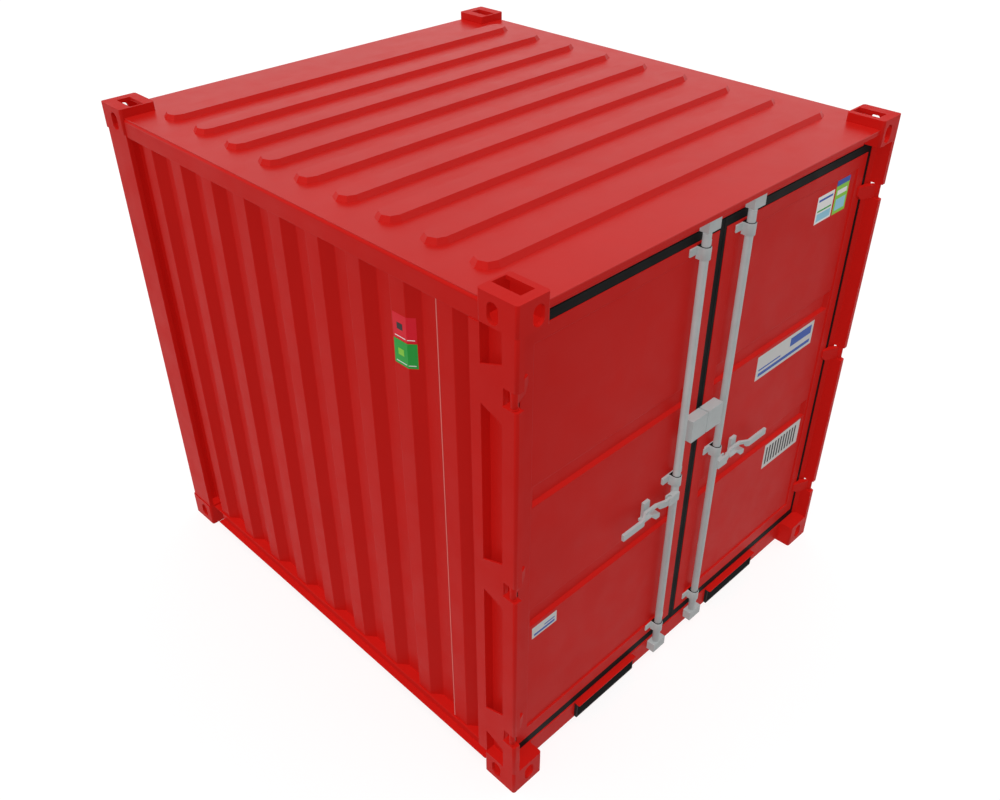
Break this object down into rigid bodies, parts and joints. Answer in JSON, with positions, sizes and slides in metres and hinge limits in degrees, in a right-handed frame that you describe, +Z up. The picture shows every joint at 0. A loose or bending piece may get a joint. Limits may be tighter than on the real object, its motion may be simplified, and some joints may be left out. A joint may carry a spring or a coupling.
{
  "type": "shipping container",
  "caption": "Hollow steel storage container with corrugated walls, ribbed roof, corner castings, hinged door leaves with turning locking bars and lifting handles, and fork pockets.",
  "frame": {"origin": "middle of the footprint, on the ground plane under the lower corner castings", "axes": "+Z up, -Y out of the door end, +X to the right as seen from in front of the doors"},
  "size_m": [2.2, 2.438, 2.26],
  "materials": {
    "red_paint": "semi gloss",
    "zinc": "matt zinc coat",
    "seal_rubber": "matt",
    "black_paint": "matt",
    "floor_board": "plain board"
  },
  "bodies": {
    "frame": {"casting_low_front_left": "red_paint", "casting_low_front_right": "red_paint", "casting_low_rear_left": "red_paint", "casting_low_rear_right": "red_paint", "casting_top_front_left": "red_paint", "casting_top_front_right": "red_paint", "casting_top_rear_left": "red_paint", "casting_top_rear_right": "red_paint", "front_post_left": "red_paint", "front_post_right": "red_paint", "rear_post_left": "red_paint", "rear_post_right": "red_paint", "bottom_rail_left": "red_paint", "bottom_rail_right": "red_paint", "top_rail_left": "red_paint", "top_rail_right": "red_paint", "front_sill": "red_paint", "rear_sill": "red_paint", "front_header": "red_paint", "rear_header": "red_paint", "side_wall_left": "red_paint", "side_wall_right": "red_paint", "rear_wall": "red_paint", "roof_sheet": "red_paint", "roof_ends": "red_paint", "floor_stringers": "red_paint", "fork_plates": "red_paint", "floor_panel": "floor_board", "fork_pockets": "black_paint", "keepers": "zinc"},
    "left_door": {"left_leaf_frame": "red_paint", "left_leaf_panel": "red_paint", "left_seal": "seal_rubber", "left_guides": "zinc", "left_catch": "zinc", "left_lock_box": "zinc"},
    "left_locking_bar": {"left_bar": "zinc"},
    "left_lift_handle": {"left_handle": "zinc"},
    "right_door": {"right_leaf_frame": "red_paint", "right_leaf_panel": "red_paint", "right_seal": "seal_rubber", "right_guides": "zinc", "right_catch": "zinc", "right_lock_box": "zinc"},
    "right_locking_bar": {"right_bar": "zinc"},
    "right_lift_handle": {"right_handle": "zinc"}
  },
  "joints": [
    {"name": "left_door_hinge", "type": "hinge", "parent": "frame", "child": "left_door", "pos_m": [-1.084, -1.194, 0], "axis": [0, 0, -1], "range_deg": [0, 255]},
    {"name": "right_door_hinge", "type": "hinge", "parent": "frame", "child": "right_door", "pos_m": [1.084, -1.194, 0], "axis": [0, 0, 1], "range_deg": [0, 255]},
    {"name": "left_bar_turn", "type": "hinge", "parent": "left_door", "child": "left_locking_bar", "pos_m": [-0.1365, -1.176, 0], "axis": [0, 0, -1], "range_deg": [-100, 0]},
    {"name": "right_bar_turn", "type": "hinge", "parent": "right_door", "child": "right_locking_bar", "pos_m": [0.1365, -1.176, 0], "axis": [0, 0, 1], "range_deg": [-100, 0]},
    {"name": "left_handle_lift", "type": "hinge", "parent": "left_locking_bar", "child": "left_lift_handle", "pos_m": [-0.1785, -1.1885, 0.985], "axis": [0, 1, 0], "range_deg": [0, 25]},
    {"name": "right_handle_lift", "type": "hinge", "parent": "right_locking_bar", "child": "right_lift_handle", "pos_m": [0.1785, -1.1885, 0.985], "axis": [0, -1, 0], "range_deg": [0, 25]}
  ]
}
